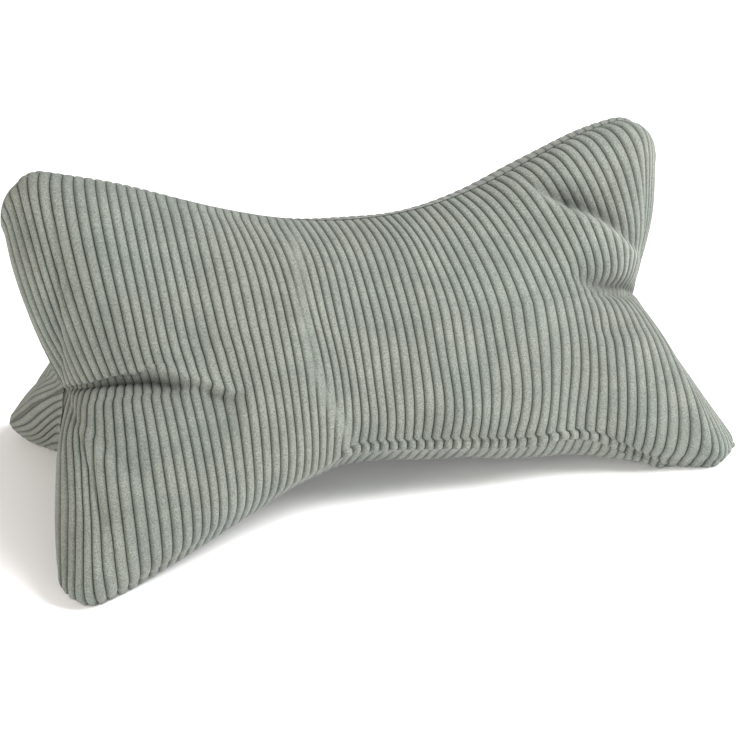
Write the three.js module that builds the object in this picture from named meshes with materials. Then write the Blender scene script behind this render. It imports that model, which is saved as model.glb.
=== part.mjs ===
// Bone-shaped reading pillow in wide-wale corduroy.
// Three like bone-shaped panels are sewn to each other along three long seams, so the filled
// pillow has three wings around its long axis and three rounded ears at each end.
// It stands on the four lower ears.
// Millimetres and degrees, +X along the pillow, the front towards -Y, +Z up, resting on z = 0.

import * as THREE from 'three';

// The long axis: where its middle stands, the tilt that lets the uneven lower ears stand level,
// and the turn of the wings about it, which grows by TWIST for each 200 mm.
const AXIS_MIDDLE = { x: 2.03, y: 0.86, z: 75.8 };
const AXIS_TILT = 1.94;
const ROLL = -4;
const TWIST = 0.8;

// Where the three panels draw in to one point at each end
const POLE_X = { left: 193, right: 191 };

// Wings: angle about the long axis, radius of the seam at its narrowest and where that is, and
// how far the seam there leans out of the wing
const TOP = { angle: 90, waistRadius: 81, waistX: 18, lean: -3 };
const FRONT = { angle: 210, waistRadius: 83.5, waistX: -32, lean: 0 };
const BACK = { angle: 330, waistRadius: 82.5, waistX: 0, lean: 0 };

// Ears: reach and height place the centre of the round tip along and out from the axis, round is
// the tip's radius, slope the degrees at which the long edge climbs to it, waistHold and tipHold
// how long that edge keeps its direction at either end, bow how far the end edge bulges, and lean
// how far the ear leans out of its wing.
const EARS = [
  { wing: TOP, end: 'left', reach: 196, height: 113.7, round: 24, slope: 16, waistHold: 0.37, tipHold: 0.39, bow: 4.6, lean: -2 },
  { wing: TOP, end: 'right', reach: 183.2, height: 95.2, round: 26, slope: 7.5, waistHold: 0.45, tipHold: 0.33, bow: 3.4, lean: -3 },
  { wing: FRONT, end: 'left', reach: 206.2, height: 124.3, round: 17.5, slope: 19.5, waistHold: 0.04, tipHold: 0.31, bow: 3.7, lean: 9 },
  { wing: FRONT, end: 'right', reach: 198.4, height: 118.3, round: 16.7, slope: 22, waistHold: 0.14, tipHold: 0.19, bow: -0.7, lean: 1.2 },
  { wing: BACK, end: 'left', reach: 194.6, height: 113.3, round: 19.4, slope: 20, waistHold: 0.28, tipHold: 0.31, bow: 1.5, lean: -1.6 },
  { wing: BACK, end: 'right', reach: 198.4, height: 107.1, round: 25.3, slope: 20, waistHold: 0.28, tipHold: 0.31, bow: 1.5, lean: 5.2 },
];

// Panels: how far the mid-line stands from the axis at the waist, the angle at which the panel
// leaves its seams there and how long it keeps it
const FRONT_PANEL = { midRadius: 61, seamAngle: 102, seamHold: 0.37 };
const BACK_PANEL = { midRadius: 72, seamAngle: 100, seamHold: 0.37 };
const UNDERSIDE = { midRadius: 66, seamAngle: 108, seamHold: 0.58 };

// Each wing parts two half panels, side +1 in the direction that its angle grows
const HALVES = [
  { wing: TOP, side: 1, panel: FRONT_PANEL },
  { wing: TOP, side: -1, panel: BACK_PANEL },
  { wing: FRONT, side: 1, panel: UNDERSIDE },
  { wing: FRONT, side: -1, panel: FRONT_PANEL },
  { wing: BACK, side: 1, panel: BACK_PANEL },
  { wing: BACK, side: -1, panel: UNDERSIDE },
];

// Cross-section of half a panel, a curve from its seam to its mid-line, which falls to the axis at
// the poles. A crease deepens along the mid-line over the last stretch before each pole, and past
// it the panel's two ears part with blunt ends.
const MID_POWER = 3.4;
const MID_FALL = 0.6;
const CREASE_LENGTH = 90;
const BLUNT_LENGTH = 25;
const SEAM_ANGLE_AT_EAR = 72;
const SEAM_HOLD_AT_EAR = 0.28;
const MID_ANGLE = { waist: -30, pole: 36, ear: 92 };
const MID_HOLD = { waist: 0.4, ear: 0.3 };

// A lean grows from the waist's to the ear's between these distances from the middle, and takes
// hold of the seam between these radii
const LEAN_GROWS = { from: 60, to: 190 };
const LEAN_HOLDS = { from: 42, to: 90 };

// The filling rounds the ears off over this distance from their end edges, from ROUND_HOLDS
// outside the mid-line on
const END_ROUND = 17;
const ROUND_HOLDS = 25;

// The front seam is gathered in a small pucker
const PUCKER = { x: 119, width: 28, depth: 6 };

// Ribs of the corduroy, which run around the girth and end at the seams. They die out in the
// creases and at the end edges, from this share of the way to the mid-line on, at the tips, and
// where the pillow is pressed on the surface.
const WALE_PITCH = 6;
const WALE_RELIEF = 1.2;
const RIBS_DIE_FROM = 0.5;
const RIBS_DIE_AT_TIP = 12;
const RIBS_DIE_BELOW = 3;

// Steps of a half panel from its seam to its mid-line, as shares of the way
const ROWS = [0, 0.07, 0.23, 0.42, 0.62, 0.81, 1];

const COLOUR = 0x9aa096;
const ROUGHNESS = 0.95;

const { clamp, degToRad, lerp, smoothstep } = THREE.MathUtils;
const X_AXIS = new THREE.Vector3(1, 0, 0);
const Y_AXIS = new THREE.Vector3(0, 1, 0);
const CENTRE = new THREE.Vector3(AXIS_MIDDLE.x, AXIS_MIDDLE.y, AXIS_MIDDLE.z);
const CURVE_STEPS = 48;
const PROBE = 0.5;
const SHARE_PROBE = 0.01;
const WELD = 1e4;

// A point at a distance from the origin of a plane, at an angle in radians
const polar = (angle, distance) => new THREE.Vector2(Math.cos(angle), Math.sin(angle)).multiplyScalar(distance);

// The wing's outline at one ear, as lists of points (x, radius): the seam out from the waist and
// the end edge out from the pole, both to where the ear reaches furthest, and the rim from the
// pole up to where the ear is highest.
function earOutline(ear) {
  const start = ear.wing.waistX * (ear.end === 'left' ? -1 : 1);
  const slope = degToRad(ear.slope);
  const centre = new THREE.Vector2(ear.reach, ear.height);
  const waist = new THREE.Vector2(start, ear.wing.waistRadius);
  const shoulder = polar(slope + Math.PI / 2, ear.round).add(centre);
  const span = shoulder.x - start;
  const longEdge = new THREE.CubicBezierCurve(
    waist, polar(0, ear.waistHold * span).add(waist), polar(slope, -ear.tipHold * span).add(shoulder), shoulder);

  const pole = new THREE.Vector2(POLE_X[ear.end], 0);
  const toPole = pole.clone().sub(centre);
  const lastAngle = Math.atan2(toPole.y, toPole.x) + Math.acos(ear.round / toPole.length());
  const tip = new THREE.EllipseCurve(
    centre.x, centre.y, ear.round, ear.round, slope + Math.PI / 2, lastAngle, true);

  const corner = tip.getPoint(1);
  const bulge = corner.clone().add(pole).multiplyScalar(0.5).add(polar(lastAngle, 2 * ear.bow));
  const endEdge = new THREE.QuadraticBezierCurve(corner, bulge, pole);

  const points = [longEdge, tip, endEdge].flatMap((curve) => curve.getPoints(CURVE_STEPS));
  const largest = (axis) => points.reduce((best, point, i) => (point[axis] > points[best][axis] ? i : best), 0);
  const furthest = largest('x');
  return {
    seam: points.slice(0, furthest + 1),
    edge: points.slice(furthest).reverse(),
    rim: points.slice(largest('y')).reverse(),
  };
}

for (const ear of EARS) {
  ear.outline = earOutline(ear);
  ear.tipX = ear.outline.seam.at(-1).x;
}

// One coordinate of a line of points where the other has a given value
function lookUp(points, known, value, wanted) {
  const next = points.findIndex((point) => point[known] >= value);
  if (next < 1) return points.at(next)[wanted];
  const [a, b] = [points[next - 1], points[next]];
  return lerp(a[wanted], b[wanted], (value - a[known]) / (b[known] - a[known]));
}

const radiusAt = (line, x) => lookUp(line, 'x', x, 'y');
const reachAt = (line, radius) => lookUp(line, 'y', radius, 'x');

// The ear whose outline holds x: a wing's two ears part at its narrowest place
function earAt(wing, x) {
  const end = x < wing.waistX ? 'left' : 'right';
  return EARS.find((ear) => ear.wing === wing && ear.end === end);
}

// A point of half a panel in its wing's own plane: x is the radius along the wing, y the rise out
// of it. share runs from the seam at 0 to the mid-line, or past the pole the end edge, at 1.
function section({ wing, panel }, x, share) {
  const { end, outline } = earAt(wing, x);
  const out = end === 'left' ? -x : x;
  const reach = Math.abs(x);
  const poleX = POLE_X[x < 0 ? 'left' : 'right'];
  const pucker = wing === FRONT ? PUCKER.depth * Math.exp(-(((x - PUCKER.x) / PUCKER.width) ** 2)) : 0;
  const seam = new THREE.Vector2(radiusAt(outline.seam, out) - pucker, 0);
  const midRadius = panel.midRadius * (1 - Math.min(1, reach / poleX) ** MID_POWER) ** MID_FALL;
  const middle = reach < poleX
    ? polar(Math.PI / 3, midRadius)
    : new THREE.Vector2(radiusAt(outline.edge, out), 0);

  const atEar = smoothstep(reach, 0.25 * poleX, 0.85 * poleX);
  const seamAngle = lerp(panel.seamAngle, SEAM_ANGLE_AT_EAR, atEar);
  const midAngle = MID_ANGLE.waist
    + (MID_ANGLE.pole - MID_ANGLE.waist) * smoothstep(reach, poleX - CREASE_LENGTH, poleX)
    + (MID_ANGLE.ear - MID_ANGLE.pole) * smoothstep(reach, poleX, poleX + BLUNT_LENGTH);
  const chord = seam.distanceTo(middle);
  const seamHold = chord * lerp(panel.seamHold, SEAM_HOLD_AT_EAR, atEar);
  const midHold = chord * lerp(MID_HOLD.waist, MID_HOLD.ear, atEar);
  const point = new THREE.CubicBezierCurve(
    seam, polar(degToRad(seamAngle), seamHold).add(seam),
    polar(degToRad(midAngle), midHold).add(middle), middle).getPoint(share);

  const flat = new THREE.Vector2(lerp(seam.x, middle.x, share), 0);
  const inward = clamp((reachAt(outline.rim, flat.x) - reach) / END_ROUND, 0, 1);
  const roundness = Math.sqrt(1 - (1 - inward) ** 2);
  const holds = smoothstep(flat.x - (reach < poleX ? middle.x : 0), 0, ROUND_HOLDS);
  return point.lerp(flat, holds * (1 - roundness));
}

// A point of the pillow's smooth skin
function skin(half, x, share) {
  const { wing, side } = half;
  const { x: radius, y: rise } = section(half, x, share);
  const atEar = smoothstep(Math.abs(x), LEAN_GROWS.from, LEAN_GROWS.to);
  const lean = lerp(wing.lean, earAt(wing, x).lean, atEar)
    * smoothstep(radius, LEAN_HOLDS.from, LEAN_HOLDS.to);
  const turn = wing.angle + lean + ROLL + TWIST * x / 200;
  return new THREE.Vector3(x, radius, side * rise)
    .applyAxisAngle(X_AXIS, degToRad(turn))
    .applyAxisAngle(Y_AXIS, degToRad(AXIS_TILT))
    .add(CENTRE);
}

// The direction out of the skin. Two half panels share the mid-line, where it is the way out from
// the long axis.
function outward(half, x, share) {
  if (share === 1) return skin(half, x, 1).sub(CENTRE).setX(0).normalize();
  const along = skin(half, x + PROBE, share).sub(skin(half, x - PROBE, share));
  const across = skin(half, x, share + SHARE_PROBE).sub(skin(half, x, share - SHARE_PROBE));
  return across.cross(along).normalize().multiplyScalar(half.side);
}

// The columns of a wing, two to a rib, crest and groove by turns: each has its place along the
// pillow and how far it is raised. The poles and the tips of the ears have a column of their own.
function waleColumns(wing) {
  const step = WALE_PITCH / 2;
  const [left, right] = EARS.filter((ear) => ear.wing === wing);
  const ends = [-left.tipX, -POLE_X.left, POLE_X.right, right.tipX];
  const columns = ends.map((x) => ({ x, raised: 0 }));
  for (let i = Math.ceil(-left.tipX / step); i * step < right.tipX; i += 1) {
    const clear = ends.every((x) => Math.abs(i * step - x) > step / 2);
    if (clear) columns.push({ x: i * step, raised: (i % 2 ? -0.5 : 0.5) * WALE_RELIEF });
  }
  return columns.sort((a, b) => a.x - b.x);
}

// The point of the ribbed skin, pressed flat where it would pass through the surface below
function ribbedSkin(half, { x, raised }, share) {
  const point = skin(half, x, share);
  const reach = Math.abs(x);
  const poleX = POLE_X[x < 0 ? 'left' : 'right'];
  const creased = smoothstep(reach, poleX - CREASE_LENGTH, poleX);
  const ribs = share && (1 - creased * smoothstep(share, RIBS_DIE_FROM, 1))
    * smoothstep(earAt(half.wing, x).tipX - reach, 0, RIBS_DIE_AT_TIP)
    * smoothstep(point.z, 0, RIBS_DIE_BELOW);
  if (raised && ribs) point.addScaledVector(outward(half, x, share), raised * ribs);
  return point.setZ(Math.max(0, point.z));
}

// The whole pillow as one closed skin: the six half panels, welded where their edges meet
function pillowGeometry() {
  const places = [];
  const known = new Map();
  const vertex = (point) => {
    const key = point.toArray().map((value) => Math.round(value * WELD)).join();
    if (!known.has(key)) {
      known.set(key, known.size);
      places.push(...point);
    }
    return known.get(key);
  };
  const faces = [];
  const addFace = (a, b, c) => {
    if (a !== b && b !== c && c !== a) faces.push(a, b, c);
  };

  for (const half of HALVES) {
    const grid = waleColumns(half.wing).map((column) => (
      ROWS.map((share) => vertex(ribbedSkin(half, column, share)))));
    for (let i = 1; i < grid.length; i += 1) {
      for (let j = 1; j < ROWS.length; j += 1) {
        const corners = [grid[i - 1][j - 1], grid[i - 1][j], grid[i][j], grid[i][j - 1]];
        if (half.side < 0) corners.reverse();
        const [a, b, c, d] = corners;
        addFace(a, b, c);
        addFace(a, c, d);
      }
    }
  }
  const geometry = new THREE.BufferGeometry();
  geometry.setAttribute('position', new THREE.Float32BufferAttribute(places, 3));
  geometry.setIndex(faces);
  geometry.computeVertexNormals();
  return geometry;
}

const corduroy = new THREE.MeshStandardMaterial({ color: COLOUR, roughness: ROUGHNESS, metalness: 0 });
const pillow = new THREE.Mesh(pillowGeometry(), corduroy);
pillow.name = 'pillow';

const group = new THREE.Group();
group.add(pillow);

export default group;
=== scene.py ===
"""Bone-shaped reading pillow in wide-wale corduroy, standing on a pale studio floor.

Three panels of corduroy, the front, the back and the underside, are sewn along three long seams.
Each is a grid over the same smooth skin as the solid's. Its round ribs, creases, folds and lumps
and the beads at the front seam are raised in the points. Millimetres and degrees throughout,
metres in the meshes. +X along the pillow, the front towards -Y, +Z up.

The skin is a section across the pillow, drawn out along it: each of three wings has two halves,
and each half runs from the wing's seam to a panel's mid-line. x is the place along the pillow,
share the way along a section from the seam, 0, to the mid-line, 1. The cloth has its own places:
u along it, across its ribs, and t from the seam, 0, to the mid-line, 1.
"""

from math import comb
from typing import NamedTuple

import bpy
import numpy as np
from mathutils import Matrix, Vector


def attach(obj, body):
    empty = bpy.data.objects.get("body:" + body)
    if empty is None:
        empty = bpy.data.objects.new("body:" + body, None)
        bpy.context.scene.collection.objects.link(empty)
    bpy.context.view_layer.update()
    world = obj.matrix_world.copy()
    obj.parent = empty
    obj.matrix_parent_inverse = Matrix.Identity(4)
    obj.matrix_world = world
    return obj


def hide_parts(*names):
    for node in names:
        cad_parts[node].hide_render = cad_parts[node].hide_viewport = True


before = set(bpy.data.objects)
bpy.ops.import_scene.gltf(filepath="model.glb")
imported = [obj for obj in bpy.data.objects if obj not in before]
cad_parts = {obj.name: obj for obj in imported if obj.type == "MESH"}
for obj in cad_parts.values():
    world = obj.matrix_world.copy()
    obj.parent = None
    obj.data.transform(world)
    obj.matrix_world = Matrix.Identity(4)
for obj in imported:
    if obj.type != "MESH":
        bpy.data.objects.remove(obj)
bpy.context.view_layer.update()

MM = 0.001
LEFT, RIGHT = "left", "right"
SIGN = {LEFT: -1, RIGHT: 1}


class Wing(NamedTuple):
    """One of the three lobes around the long axis, and its seam where it is narrowest."""

    angle: float
    waist_radius: float
    waist_x: float
    lean: float


class Ear(NamedTuple):
    """The rounded end of a wing: the centre and radius of its tip, the slope at which the long edge
    climbs to it, how far that edge holds on to its way at the waist and at the tip, as shares of
    its length, the bow of the end edge, and the ear's lean out of the wing."""

    reach: float
    height: float
    round: float
    slope: float
    waist_hold: float
    tip_hold: float
    bow: float
    lean: float


class Panel(NamedTuple):
    """The distance of a panel's mid-line from the long axis at the waist, and the angle at which it
    leaves its seams there and how far it holds on to it."""

    mid_radius: float
    seam_angle: float
    seam_hold: float


class Rib(NamedTuple):
    """How the ribs of the front panel run at a place along the cloth: their shifts along the pillow
    at the upper seam, the mid-line and the lower seam. From a seam to the mid-line they make their
    way by sin(90 degrees t) to the power late_above or late_below. Above, a share straight of the
    sine is t instead."""

    place: float
    upper: float
    middle: float
    lower: float
    late_above: float
    late_below: float
    straight: float


class Knot(NamedTuple):
    """A point of a fold's line on the front panel: x along the pillow, and s, which is 0 at the top
    seam, 1 at the mid-line and 2 at the lower seam. left is above a line that runs right, and right
    of one that runs down. The cloth just left and right of the line is raised by left and right,
    and its ribs slide along the pillow by slide_left and slide_right. crush is the share of their
    height that they lose on the line."""

    x: float
    s: float
    left: float
    right: float
    slide_left: float
    slide_right: float
    crush: float


class Fold(NamedTuple):
    """A fold along a line of knots. edge is how soft it is on its line, and width how far it
    reaches to either side."""

    edge: float
    width: float
    knots: list


class Mottle(NamedTuple):
    """Soft spots over the cloth: their size in mm, how finely they are broken up, and the levels
    of the least and the most of them."""

    size: float
    detail: float
    low: float
    high: float


# The same sizes as the solid's. ROLL turns all wings round the axis, and TWIST turns them more
# over each TWIST_LENGTH along it.
AXIS_MIDDLE = np.array([2.03, 0.86, 75.8])
AXIS_TILT = 1.94
ROLL = -4.0
TWIST, TWIST_LENGTH = 0.8, 200
POLE_X = {LEFT: 193.0, RIGHT: 191.0}

TOP = Wing(angle=90, waist_radius=81, waist_x=18, lean=-3)
FRONT = Wing(angle=210, waist_radius=83.5, waist_x=-32, lean=0)
BACK = Wing(angle=330, waist_radius=82.5, waist_x=0, lean=0)

TOP_LEFT = Ear(
    reach=196, height=113.7, round=24, slope=16, waist_hold=0.37, tip_hold=0.39, bow=4.6, lean=-2)
TOP_RIGHT = Ear(
    reach=183.2, height=95.2, round=26, slope=7.5, waist_hold=0.45, tip_hold=0.33, bow=3.4, lean=-3)
FRONT_LEFT = Ear(
    reach=206.2, height=124.3, round=17.5, slope=19.5, waist_hold=0.04, tip_hold=0.31, bow=3.7, lean=9)
FRONT_RIGHT = Ear(
    reach=198.4, height=118.3, round=16.7, slope=22, waist_hold=0.14, tip_hold=0.19, bow=-0.7, lean=1.2)
BACK_LEFT = Ear(
    reach=194.6, height=113.3, round=19.4, slope=20, waist_hold=0.28, tip_hold=0.31, bow=1.5, lean=-1.6)
BACK_RIGHT = Ear(
    reach=198.4, height=107.1, round=25.3, slope=20, waist_hold=0.28, tip_hold=0.31, bow=1.5, lean=5.2)

EARS = {
    (TOP, LEFT): TOP_LEFT,
    (TOP, RIGHT): TOP_RIGHT,
    (FRONT, LEFT): FRONT_LEFT,
    (FRONT, RIGHT): FRONT_RIGHT,
    (BACK, LEFT): BACK_LEFT,
    (BACK, RIGHT): BACK_RIGHT,
}

FRONT_PANEL = Panel(mid_radius=61, seam_angle=102, seam_hold=0.37)
BACK_PANEL = Panel(mid_radius=72, seam_angle=100, seam_hold=0.37)
UNDERSIDE = Panel(mid_radius=66, seam_angle=108, seam_hold=0.58)

# A panel's mid-line lies 60 degrees from the wings on both its sides, so half its distance from the
# axis is along each. It sinks to the pole, and there creases over CREASE_LENGTH. Past the pole an
# ear's end turns blunt over BLUNT_LENGTH.
MID_LINE_ANGLE, MID_LINE_ALONG = 60, 0.5
MID_POWER, MID_FALL = 3.4, 0.6
CREASE_LENGTH, BLUNT_LENGTH = 90, 25

# The angles at which a section leaves the seam and comes to the mid-line, and how far it holds on
# to them as shares of its chord. It changes from waist to ear between these shares of the way to
# the pole.
EAR_FROM, EAR_TO = 0.25, 0.85
SEAM_ANGLE_AT_EAR, SEAM_HOLD_AT_EAR = 72, 0.28
MID_ANGLE_AT_WAIST, MID_ANGLE_AT_POLE, MID_ANGLE_AT_EAR = -30, 36, 92
MID_HOLD_AT_WAIST, MID_HOLD_AT_EAR = 0.4, 0.3

# How far from its rim an ear is rounded, and how far from the mid-line that fades
END_ROUND, ROUND_HOLDS = 17, 25

# An ear's lean grows between these places along the pillow and distances from the axis
LEAN_GROWS, LEAN_HOLDS = (60, 190), (42, 90)

# The dent in the front seam
DENT_X, DENT_WIDTH, DENT_DEPTH = 119, 28, 6

# The corduroy: wide-wale ribs, about four to the inch. A groove lies at WALE_START on the cloth and
# at each whole pitch from it. A rib's height is measured from WALE_MIDDLE of its profile.
WALE_PITCH = 6.02
WALE_START = -11.1
WALE_HEIGHT = 1.5
WALE_MIDDLE = 0.7
WALE_ROUNDNESS = 3.2

# v is a rib's place with its ear flattened: the same as its place u on the cloth up to EVEN_FROM,
# and from there to the end edge, at v = CLOTH_END, the ribs are spread over the skin, measured in
# EVEN_STEPS. No end edge lies further along the cloth than MOST_CLOTH. From GATHER_FROM on the ribs
# come to lie along the end edge.
CLOTH_END = 215
EVEN_FROM, EVEN_STEPS = 130, 90
MOST_CLOTH = 262
GATHER_FROM = 140

# The place of the end edges on the cloth, at the ears of each wing and at the poles. The front
# panel is stretched over its ears. Towards the poles the place changes late, by the power
# ENDS_LATE of t.
FRONT_ENDS = {TOP: {LEFT: 234, RIGHT: 229}, FRONT: {LEFT: 232, RIGHT: 224}}
FRONT_POLES = {LEFT: 240, RIGHT: 215}
PLAIN_ENDS = {
    TOP: {LEFT: 244, RIGHT: 236},
    FRONT: {LEFT: 244, RIGHT: 235},
    BACK: {LEFT: 236, RIGHT: 244},
}
PLAIN_POLES = {LEFT: 236, RIGHT: 236}
ENDS_LATE = {TOP: 4, FRONT: 6, BACK: 4}

# The end seams of the top and front ears lie round the corner: the front panel reaches this far
# past the end edge. That grows between REACH_GROWS of t and fades over the last REACH_FADES.
REACHES_ROUND = {LEFT: 8, RIGHT: 4}
REACH_GROWS, REACH_FADES = (0.03, 0.3), 0.3

RIBS = [
    Rib(place=-195, upper=-3, middle=14, lower=-4, late_above=3.2, late_below=2.4, straight=1),
    Rib(place=-165, upper=0, middle=7.5, lower=-1, late_above=4, late_below=1, straight=1),
    Rib(place=-135, upper=4, middle=9.5, lower=1, late_above=3.7, late_below=0.6, straight=1),
    Rib(place=-105, upper=6, middle=12, lower=1.5, late_above=2.5, late_below=0.6, straight=0.5),
    Rib(place=-75, upper=1, middle=10, lower=1, late_above=1.2, late_below=0.7, straight=0),
    Rib(place=-45, upper=0, middle=6, lower=0, late_above=1, late_below=0.8, straight=0),
    Rib(place=-15, upper=-1.5, middle=4, lower=-0.5, late_above=1, late_below=1, straight=0.1),
    Rib(place=15, upper=-4, middle=3.5, lower=-1.5, late_above=1, late_below=1, straight=0.2),
    Rib(place=45, upper=-7.5, middle=5.5, lower=-4, late_above=1.3, late_below=1, straight=0.4),
    Rib(place=75, upper=-11, middle=10, lower=-5, late_above=1.4, late_below=1.1, straight=0.4),
    Rib(place=105, upper=-14, middle=20, lower=-1, late_above=1.4, late_below=2.1, straight=0.4),
    Rib(place=135, upper=-14.5, middle=18, lower=1.5, late_above=1.4, late_below=2.8, straight=0.4),
    Rib(place=165, upper=-12, middle=10, lower=3, late_above=1.4, late_below=3.2, straight=0.4),
]
# RIBS is averaged over 2 RIB_WINDOW along the cloth, and over less from RIB_WINDOW_HOLDS on
RIB_WINDOW, RIB_WINDOW_HOLDS = 12, 180

# On the plain panels the ribs are drawn in late towards the ends, and all ribs wander a little
DRAWN_IN = 3.5
WANDER = 0.9

# So near the end edge the ribs wander, slide and bend less
HELD_BY_END = 12

LEFT_CREASE = [
    Knot(x=-196, s=0.98, left=1, right=-2, slide_left=5, slide_right=0, crush=0),
    Knot(x=-183, s=1.00, left=3, right=-6, slide_left=7, slide_right=2, crush=0),
    Knot(x=-165, s=1.00, left=4.5, right=-9, slide_left=10, slide_right=4, crush=0),
    Knot(x=-148, s=1.04, left=5, right=-9, slide_left=10, slide_right=4, crush=0),
    Knot(x=-134, s=1.10, left=4, right=-7, slide_left=6, slide_right=2, crush=0),
    Knot(x=-118, s=1.16, left=0, right=0, slide_left=0, slide_right=0, crush=0),
]
SECOND_CREASE = [
    Knot(x=-126, s=1.12, left=0, right=0, slide_left=0, slide_right=0, crush=0),
    Knot(x=-115, s=1.18, left=3, right=-5, slide_left=2, slide_right=0, crush=0),
    Knot(x=-105, s=1.24, left=2, right=-4, slide_left=2, slide_right=0, crush=0),
    Knot(x=-93, s=1.25, left=0, right=0, slide_left=0, slide_right=0, crush=0),
]
UNDER_RIGHT_EAR = [
    Knot(x=102, s=0.08, left=0, right=0, slide_left=0, slide_right=0, crush=0),
    Knot(x=111, s=0.25, left=-2, right=1, slide_left=0, slide_right=0, crush=0.2),
    Knot(x=118, s=0.38, left=-4, right=2, slide_left=0, slide_right=0, crush=0.4),
    Knot(x=132, s=0.51, left=-8, right=3.5, slide_left=0, slide_right=0, crush=0.3),
    Knot(x=157, s=0.62, left=-8, right=3.5, slide_left=0, slide_right=0, crush=0.3),
    Knot(x=177, s=0.72, left=-3, right=2, slide_left=0, slide_right=0, crush=0.2),
    Knot(x=192, s=0.77, left=0, right=0, slide_left=0, slide_right=0, crush=0),
]
BELLY = [
    Knot(x=118, s=0.62, left=0, right=0, slide_left=0, slide_right=0, crush=0),
    Knot(x=140, s=0.73, left=3, right=3, slide_left=0, slide_right=0, crush=0),
    Knot(x=165, s=0.83, left=3, right=3, slide_left=0, slide_right=0, crush=0),
    Knot(x=185, s=0.88, left=0, right=0, slide_left=0, slide_right=0, crush=0),
]
RIGHT_CREASE = [
    Knot(x=125, s=0.84, left=0, right=0, slide_left=0, slide_right=0, crush=0),
    Knot(x=134, s=0.90, left=-2, right=-1, slide_left=-2, slide_right=0, crush=0.3),
    Knot(x=145, s=0.95, left=-5, right=-3, slide_left=-4, slide_right=0, crush=0.8),
    Knot(x=162, s=0.98, left=-6, right=-3, slide_left=-4, slide_right=0, crush=0.9),
    Knot(x=180, s=1.00, left=-3, right=-1, slide_left=-2, slide_right=0, crush=0.7),
    Knot(x=191, s=1.00, left=0, right=0, slide_left=0, slide_right=0, crush=0),
]
RIDGE = [
    Knot(x=-41, s=0.05, left=0, right=0, slide_left=0, slide_right=0, crush=0),
    Knot(x=-46, s=0.29, left=0.5, right=1.2, slide_left=0, slide_right=0, crush=0.65),
    Knot(x=-50, s=0.70, left=1, right=2, slide_left=0.5, slide_right=-0.5, crush=0.65),
    Knot(x=-52, s=1.15, left=1, right=2.6, slide_left=1, slide_right=-1, crush=0.65),
    Knot(x=-46, s=1.45, left=1, right=3, slide_left=1.5, slide_right=-1.5, crush=0.65),
    Knot(x=-37, s=1.77, left=1, right=2.5, slide_left=1.5, slide_right=-1.5, crush=0.65),
    Knot(x=-33, s=2.00, left=0.5, right=1, slide_left=0, slide_right=0, crush=0.3),
]
LEFT_WRINKLE = [
    Knot(x=-199, s=1.13, left=0, right=0, slide_left=0, slide_right=0, crush=0),
    Knot(x=-194, s=1.24, left=-1.5, right=1, slide_left=6, slide_right=6, crush=0),
    Knot(x=-186, s=1.35, left=-2.5, right=2, slide_left=9, slide_right=9, crush=0),
    Knot(x=-177, s=1.42, left=-2.5, right=2, slide_left=7, slide_right=7, crush=0),
    Knot(x=-160, s=1.50, left=0, right=0, slide_left=0, slide_right=0, crush=0),
]
RIGHT_WRINKLE = [
    Knot(x=128, s=1.18, left=0, right=0, slide_left=0, slide_right=0, crush=0),
    Knot(x=145, s=1.27, left=-1.5, right=-1, slide_left=-1, slide_right=1, crush=0),
    Knot(x=162, s=1.36, left=0, right=0, slide_left=0, slide_right=0, crush=0),
]
FOLDS = [
    Fold(edge=1.0, width=10, knots=LEFT_CREASE),
    Fold(edge=1.0, width=8, knots=SECOND_CREASE),
    Fold(edge=1.2, width=11, knots=UNDER_RIGHT_EAR),
    Fold(edge=9.0, width=9, knots=BELLY),
    Fold(edge=2.4, width=7, knots=RIGHT_CREASE),
    Fold(edge=3.0, width=10, knots=RIDGE),
    Fold(edge=2.0, width=12, knots=LEFT_WRINKLE),
    Fold(edge=3.0, width=6, knots=RIGHT_WRINKLE),
]
# From a seam to the mid-line the panel measures about ACROSS. Crushed ribs are as pale as their
# backs at CRUSHED_RIB.
ACROSS = 95
CRUSH_WIDTH = 3.5
CRUSHED_RIB = 0.85

# Puckers at the front seam: places along the pillow, the half width and depth of each, how far they
# reach up the panel and how far they lean to the right for each millimetre up
PUCKERS_X = [110, 125, 140]
PUCKERS_WIDTH, PUCKERS_DEPTH, PUCKERS_REACH, PUCKERS_LEAN = 4, 2.2, 14, 0.25
PUCKERS_GROW = 5

# The front seam leaves the rim and runs under both front ears: how far, as a share of the
# section, and between which distances from the middle it gets there. Before the right ear it lies
# above the rim, most so at SEAM_OVER_X.
SEAM_UNDER = {LEFT: 0.12, RIGHT: 0.22}
SEAM_UNDER_FROM = {LEFT: 38, RIGHT: 122}
SEAM_UNDER_TO = {LEFT: 62, RIGHT: 182}
SEAM_OVER, SEAM_OVER_X, SEAM_OVER_WIDTH = 0.07, 108, 26

# At the front seam right of the ridge each rib ends in a round bead, a little further along. The
# beads begin over BEADS_GROW along the seam, and they end between two distances from the end seam.
# A bead's middle lies BEAD_MIDDLE from the seam, and its dome stands on a base below the skin. It
# is a little wider than the rib, by BEAD_NARROWNESS below 1. The ribs bend to the beads over
# BEAD_BEND.
BEADS_FROM, BEADS_GROW, BEADS_END = -36, 8, (4, 16)
BEAD_MIDDLE, BEAD_HALF, BEAD_NARROWNESS = 2.8, 4.0, 0.9
BEAD_LENGTH = BEAD_MIDDLE + BEAD_HALF
BEAD_RIM = (BEAD_LENGTH - 0.5, BEAD_LENGTH + 0.7)
BEAD_HEIGHT, BEAD_BASE = 3.6, -0.6
BEAD_SHIFT, BEAD_BEND = 2.6, (BEAD_LENGTH - 1, BEAD_LENGTH + 3)

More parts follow.
